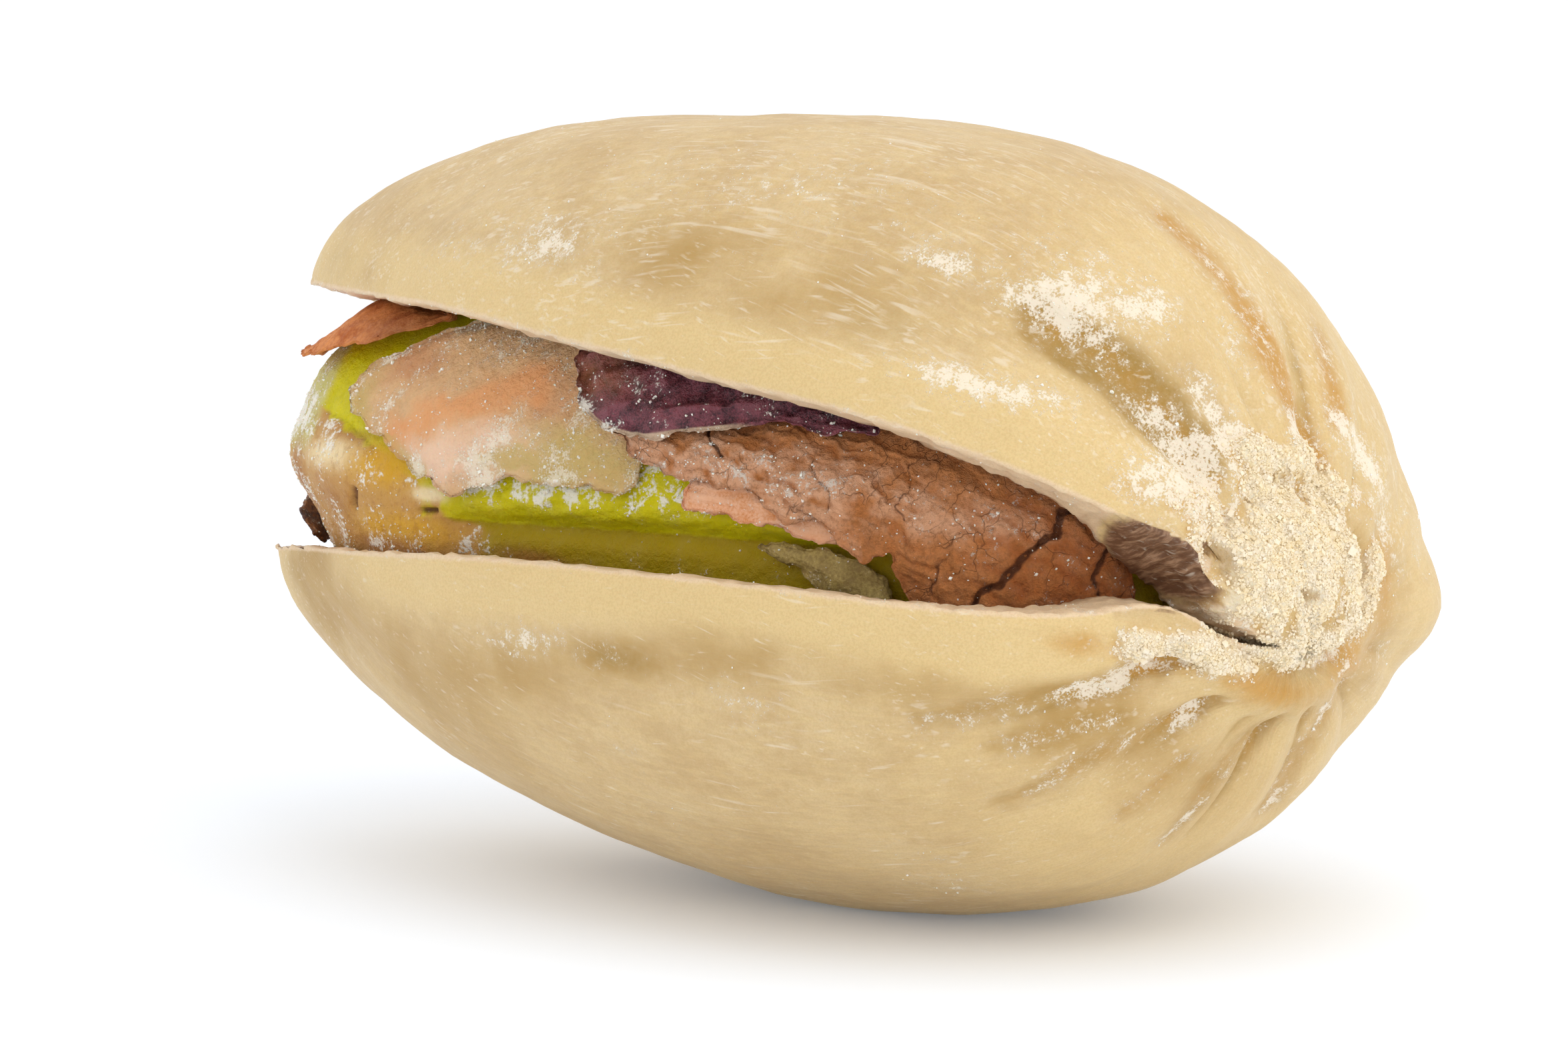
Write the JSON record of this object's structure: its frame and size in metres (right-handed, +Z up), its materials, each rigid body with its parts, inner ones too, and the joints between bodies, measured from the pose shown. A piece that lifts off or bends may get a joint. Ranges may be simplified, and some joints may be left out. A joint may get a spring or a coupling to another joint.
{
  "type": "pistachio in shell",
  "caption": "Roasted, salted pistachio in its split shell, with the green kernel and torn flakes of its seed coat showing in the open suture.",
  "frame": {"origin": "bottom centre of the bounding box, on the surface the nut lies on", "axes": "+Z up, +X along the nut's length towards the stem scar, -Y towards the wide front split"},
  "size_m": [0.0214, 0.0134, 0.013],
  "materials": {
    "shell": "satin ivory nutshell with white salt dust, furrows and a crusted stem scar",
    "kernel": "matte yellow-green seed flesh with salt",
    "coat_straw": "matte thin papery seed coat, straw to orange, salted",
    "coat_flap": "matte thin papery seed coat, russet",
    "coat_plum": "dark plum papery seed coat with a slight sheen, salted",
    "coat_russet": "matte cracked papery seed coat, russet",
    "coat_under": "matte papery seed coat, russet, lower layer",
    "coat_olive": "matte papery seed coat, olive brown",
    "coat_end": "dark papery seed coat at the kernel's tip"
  },
  "bodies": {
    "root": {"shell": "shell", "kernel": "kernel", "coat_straw": "coat_straw", "coat_flap": "coat_flap", "coat_plum": "coat_plum", "coat_russet": "coat_russet", "coat_under": "coat_under", "coat_olive": "coat_olive", "coat_end": "coat_end"}
  },
  "joints": []
}
